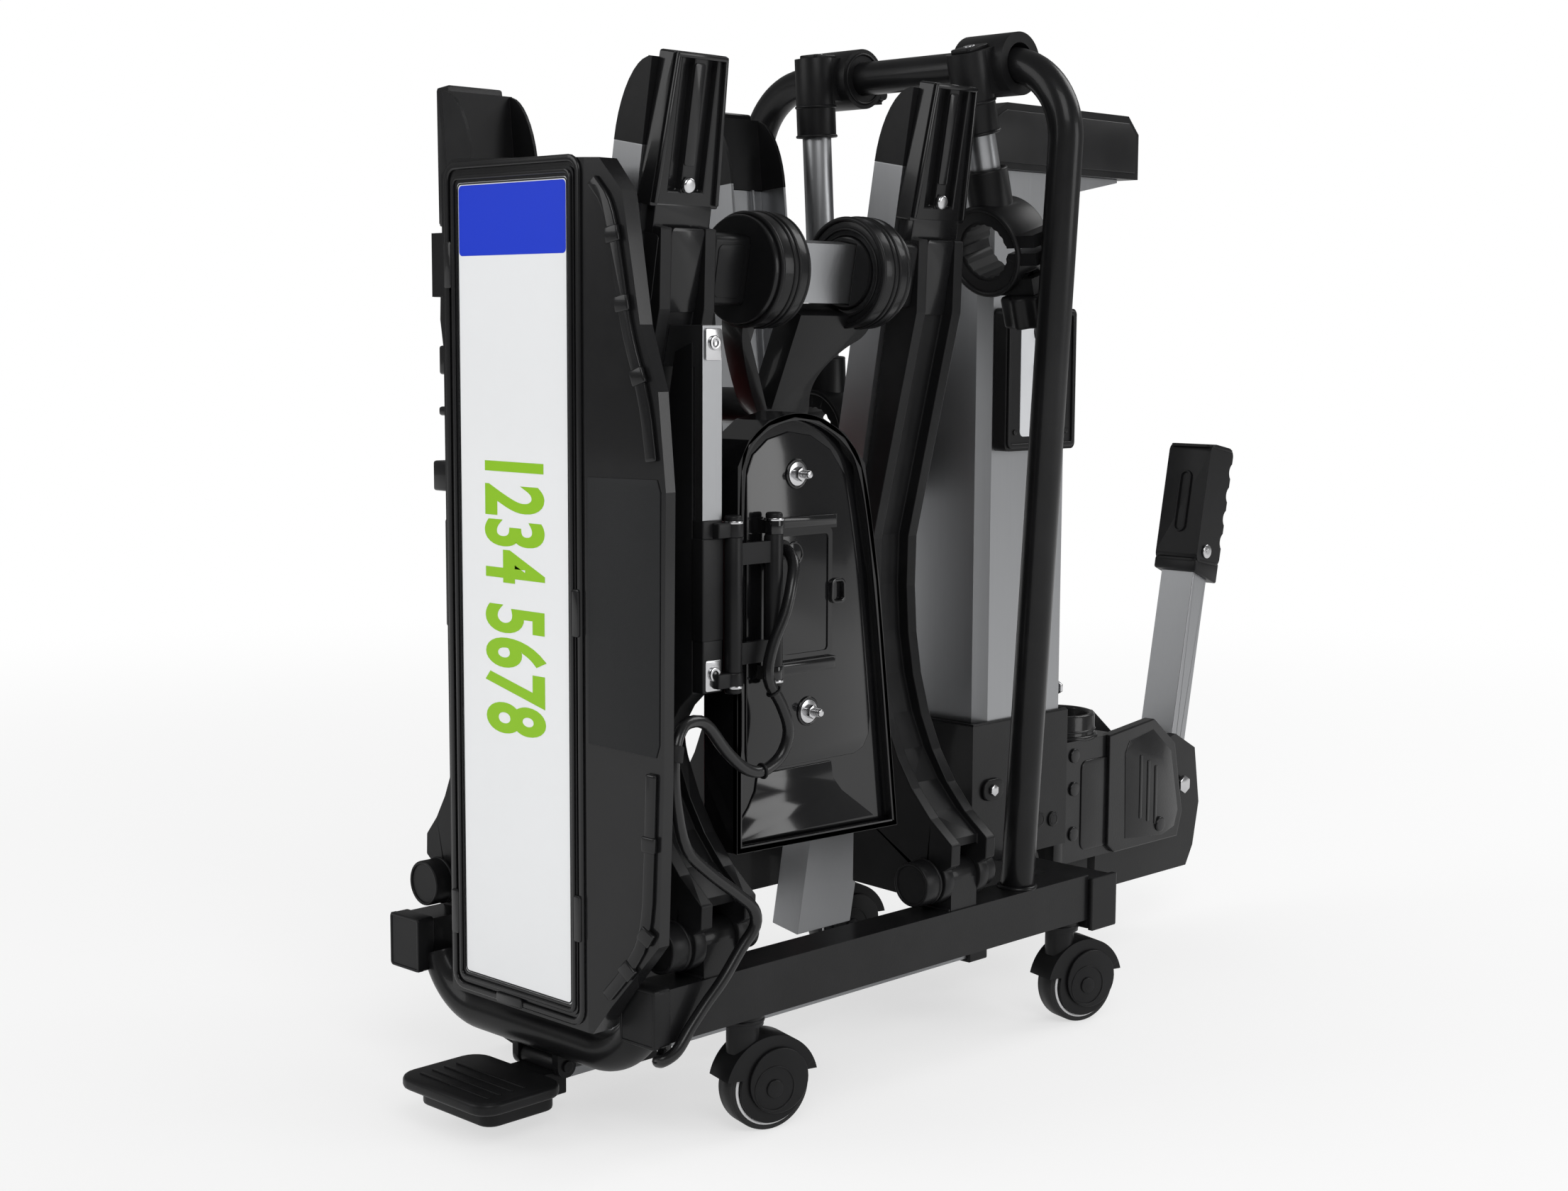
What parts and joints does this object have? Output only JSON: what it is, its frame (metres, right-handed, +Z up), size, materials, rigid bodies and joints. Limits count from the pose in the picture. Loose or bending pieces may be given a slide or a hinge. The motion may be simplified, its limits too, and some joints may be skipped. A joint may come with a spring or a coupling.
{
  "type": "motorhome bike rack",
  "caption": "Folded towbar bicycle carrier with tilting electric lift column, folding wheel-rail wings, swing-out lamps, frame holders and castors.",
  "frame": {"origin": "centre of the object's footprint on the floor it stands on", "axes": "+Z up, +Y towards the tow-ball coupling, +X across the vehicle"},
  "size_m": [0.335, 0.8706, 0.741],
  "materials": {
    "black_steel": "satin",
    "black_plastic": "satin",
    "castor_tread": "matte",
    "brushed_aluminium": "brushed",
    "zinc_steel": "bright",
    "plate_white": "semi-gloss",
    "gloss_black": "gloss",
    "lamp_red": "gloss",
    "button_grey": "satin",
    "cast_black": "satin",
    "cable_black": "satin"
  },
  "bodies": {
    "platform": {"platform_frame": "black_steel", "bar_guides": "black_steel", "hoop": "black_steel", "rail_end_caps": "black_plastic", "hinge_bolts": "black_plastic", "wing_cable": "cable_black"},
    "castor_fork_rear_right": {"castor_fork_rear_right": "black_plastic"},
    "castor_wheel_rear_right": {"castor_wheel_rear_right": "castor_tread"},
    "castor_fork_rear_left": {"castor_fork_rear_left": "black_plastic"},
    "castor_wheel_rear_left": {"castor_wheel_rear_left": "castor_tread"},
    "castor_fork_front_right": {"castor_fork_front_right": "black_plastic"},
    "castor_wheel_front_right": {"castor_wheel_front_right": "castor_tread"},
    "castor_fork_front_left": {"castor_fork_front_left": "black_plastic"},
    "castor_wheel_front_left": {"castor_wheel_front_left": "castor_tread"},
    "wing_right": {"arms_right": "black_plastic", "wheel_rails_right": "brushed_aluminium", "wheel_rail_caps_right": "black_plastic", "clamp_channels_right": "black_plastic", "wing_tubes_right": "brushed_aluminium", "yoke_sleeves": "black_steel", "lamp_cable": "cable_black"},
    "lamp_link_right": {"lamp_link_right": "black_plastic"},
    "lamp_right": {"lamp_tray_right": "gloss_black", "lamp_lens_right": "lamp_red"},
    "wing_left": {"arms_left": "black_plastic", "wheel_rails_left": "brushed_aluminium", "wheel_rail_caps_left": "black_plastic", "clamp_channels_left": "black_plastic", "wing_tubes_left": "brushed_aluminium", "plate_holder": "black_plastic", "number_plate": "plate_white"},
    "lamp_link_left": {"lamp_link_left": "black_plastic"},
    "lamp_left": {"lamp_tray_left": "gloss_black", "lamp_lens_left": "lamp_red"},
    "stay_yoke": {"stay_yoke": "black_steel"},
    "column": {"column_tube": "brushed_aluminium", "column_head": "black_plastic", "column_foot": "black_steel", "control_panel": "black_plastic"},
    "button_up": {"button_up": "button_grey"},
    "button_stop": {"button_stop": "button_grey"},
    "button_down": {"button_down": "button_grey"},
    "lead_screw": {"lead_screw": "zinc_steel"},
    "carriage": {"carriage": "black_steel", "coupling_body": "cast_black", "cheek_plates": "cast_black", "hook_plates": "black_steel"},
    "lever": {"lever_bar": "brushed_aluminium", "lever_grip": "black_plastic"},
    "ball_jaw": {"ball_jaw": "cast_black"},
    "pedal": {"pedal": "black_plastic"},
    "release_bar": {"release_bar": "brushed_aluminium"},
    "holder_one": {"holder_head_one": "black_plastic", "holder_tube_one": "brushed_aluminium"},
    "jaw_one": {"holder_jaw_one": "black_plastic"},
    "knob_one": {"jaw_knob_one": "black_plastic"},
    "holder_two": {"holder_head_two": "black_plastic", "holder_tube_two": "brushed_aluminium"},
    "jaw_two": {"holder_jaw_two": "black_plastic"},
    "knob_two": {"jaw_knob_two": "black_plastic"}
  },
  "joints": [
    {"name": "castor_swivel_rear_right", "type": "hinge", "parent": "platform", "child": "castor_fork_rear_right", "pos_m": [0.1225, -0.27734, 0.08], "axis": [0, 0, 1], "continuous": true},
    {"name": "castor_roll_rear_right", "type": "hinge", "parent": "castor_fork_rear_right", "child": "castor_wheel_rear_right", "pos_m": [0.12664, -0.26188, 0.03], "axis": [-0.9659, 0.2588, 0], "continuous": true},
    {"name": "castor_swivel_rear_left", "type": "hinge", "parent": "platform", "child": "castor_fork_rear_left", "pos_m": [-0.1225, -0.27734, 0.08], "axis": [0, 0, 1], "continuous": true},
    {"name": "castor_roll_rear_left", "type": "hinge", "parent": "castor_fork_rear_left", "child": "castor_wheel_rear_left", "pos_m": [-0.11836, -0.26188, 0.03], "axis": [-0.9659, 0.2588, 0], "continuous": true},
    {"name": "castor_swivel_front_right", "type": "hinge", "parent": "platform", "child": "castor_fork_front_right", "pos_m": [0.1225, 0.06266, 0.08], "axis": [0, 0, 1], "continuous": true},
    {"name": "castor_roll_front_right", "type": "hinge", "parent": "castor_fork_front_right", "child": "castor_wheel_front_right", "pos_m": [0.12664, 0.07812, 0.03], "axis": [-0.9659, 0.2588, 0], "continuous": true},
    {"name": "castor_swivel_front_left", "type": "hinge", "parent": "platform", "child": "castor_fork_front_left", "pos_m": [-0.1225, 0.06266, 0.08], "axis": [0, 0, 1], "continuous": true},
    {"name": "castor_roll_front_left", "type": "hinge", "parent": "castor_fork_front_left", "child": "castor_wheel_front_left", "pos_m": [-0.11836, 0.07812, 0.03], "axis": [-0.9659, 0.2588, 0], "continuous": true},
    {"name": "wing_fold_right", "type": "hinge", "parent": "platform", "child": "wing_right", "pos_m": [0.1225, -0.19034, 0.137], "axis": [0, 1, 0], "range_deg": [0, 80], "deforming": ["wing_cable"]},
    {"name": "wing_fold_left", "type": "hinge", "parent": "platform", "child": "wing_left", "pos_m": [-0.1225, -0.19034, 0.137], "axis": [0, -1, 0], "range_deg": [0, 84]},
    {"name": "lamp_link_swing_right", "type": "hinge", "parent": "wing_right", "child": "lamp_link_right", "pos_m": [0.1275, -0.29184, 0.35], "axis": [0, 0, -1], "range_deg": [0, 150], "deforming": ["lamp_cable"]},
    {"name": "lamp_turn_right", "type": "hinge", "parent": "lamp_link_right", "child": "lamp_right", "pos_m": [0.1275, -0.25484, 0.35], "axis": [0, 0, -1], "range_deg": [0, 90], "deforming": ["lamp_cable"]},
    {"name": "lamp_link_swing_left", "type": "hinge", "parent": "wing_left", "child": "lamp_link_left", "pos_m": [-0.1275, -0.29184, 0.35], "axis": [0, 0, 1], "range_deg": [0, 150]},
    {"name": "lamp_turn_left", "type": "hinge", "parent": "lamp_link_left", "child": "lamp_left", "pos_m": [-0.1275, -0.25484, 0.35], "axis": [0, 0, 1], "range_deg": [0, 90]},
    {"name": "stay_swing", "type": "hinge", "parent": "wing_right", "child": "stay_yoke", "pos_m": [0.09363, -0.19034, 0.56618], "axis": [0, 1, 0], "range_deg": [0, 80]},
    {"name": "column_tilt", "type": "hinge", "parent": "platform", "child": "column", "pos_m": [0, 0.12466, 0.1], "axis": [-1, 0, 0], "range_deg": [0, 25]},
    {"name": "button_up_press", "type": "slide", "parent": "column", "child": "button_up", "axis": [-1, 0, 0], "range_m": [0, 0.002], "stiffness_N_per_m": 200, "springref_m": -0.002},
    {"name": "button_stop_press", "type": "slide", "parent": "column", "child": "button_stop", "axis": [-1, 0, 0], "range_m": [0, 0.002], "stiffness_N_per_m": 200, "springref_m": -0.002},
    {"name": "button_down_press", "type": "slide", "parent": "column", "child": "button_down", "axis": [-1, 0, 0], "range_m": [0, 0.002], "stiffness_N_per_m": 200, "springref_m": -0.002},
    {"name": "lift", "type": "slide", "parent": "column", "child": "carriage", "axis": [0, 0, 1], "range_m": [0, 0.36]},
    {"name": "screw_turn", "type": "hinge", "parent": "column", "child": "lead_screw", "pos_m": [0, 0.12566, 0.4], "axis": [0, 0, 1], "range_deg": [0, 13000]},
    {"name": "lever_pull", "type": "hinge", "parent": "carriage", "child": "lever", "pos_m": [0, 0.35996, 0.13], "axis": [-1, 0, 0], "range_deg": [0, 65]},
    {"name": "jaw_open", "type": "hinge", "parent": "carriage", "child": "ball_jaw", "pos_m": [0, 0.33196, 0.146], "axis": [1, 0, 0], "range_deg": [0, 14]},
    {"name": "pedal_press", "type": "hinge", "parent": "platform", "child": "pedal", "pos_m": [0, -0.34534, 0.036], "axis": [1, 0, 0], "range_deg": [0, 6], "stiffness_Nm_per_rad": 4, "springref_deg": -6.88},
    {"name": "release_slide", "type": "slide", "parent": "platform", "child": "release_bar", "axis": [0, 1, 0], "range_m": [0, 0.00125]},
    {"name": "holder_swing_one", "type": "hinge", "parent": "platform", "child": "holder_one", "pos_m": [-0.063, 0.00966, 0.7185], "axis": [1, 0, 0], "range_deg": [0, 8]},
    {"name": "jaw_turn_one", "type": "hinge", "parent": "holder_one", "child": "jaw_one", "pos_m": [-0.063, -0.00588, 0.48111], "axis": [0, -0.061, 0.9981], "range_deg": [-30, 15]},
    {"name": "knob_turn_one", "type": "hinge", "parent": "jaw_one", "child": "knob_one", "pos_m": [-0.087, -0.0016, 0.41124], "axis": [0, -0.061, 0.9981], "continuous": true},
    {"name": "holder_swing_two", "type": "hinge", "parent": "platform", "child": "holder_two", "pos_m": [0.09, 0.00966, 0.7185], "axis": [1, 0, 0], "range_deg": [0, 100]},
    {"name": "jaw_turn_two", "type": "hinge", "parent": "holder_two", "child": "jaw_two", "pos_m": [0.09, 0.00673, 0.61987], "axis": [0, 0.2756, -0.9613], "range_deg": [0, 12]},
    {"name": "knob_turn_two", "type": "hinge", "parent": "jaw_two", "child": "knob_two", "pos_m": [0.114, 0.02603, 0.55258], "axis": [0, -0.2756, 0.9613], "continuous": true}
  ],
  "couplings": [
    {"joint": "screw_turn", "follows": "lift", "rad_per_m": 628.32},
    {"joint": "jaw_open", "follows": "lever_pull", "ratio": 0.2},
    {"joint": "pedal_press", "follows": "release_slide", "rad_per_m": 83.333}
  ]
}
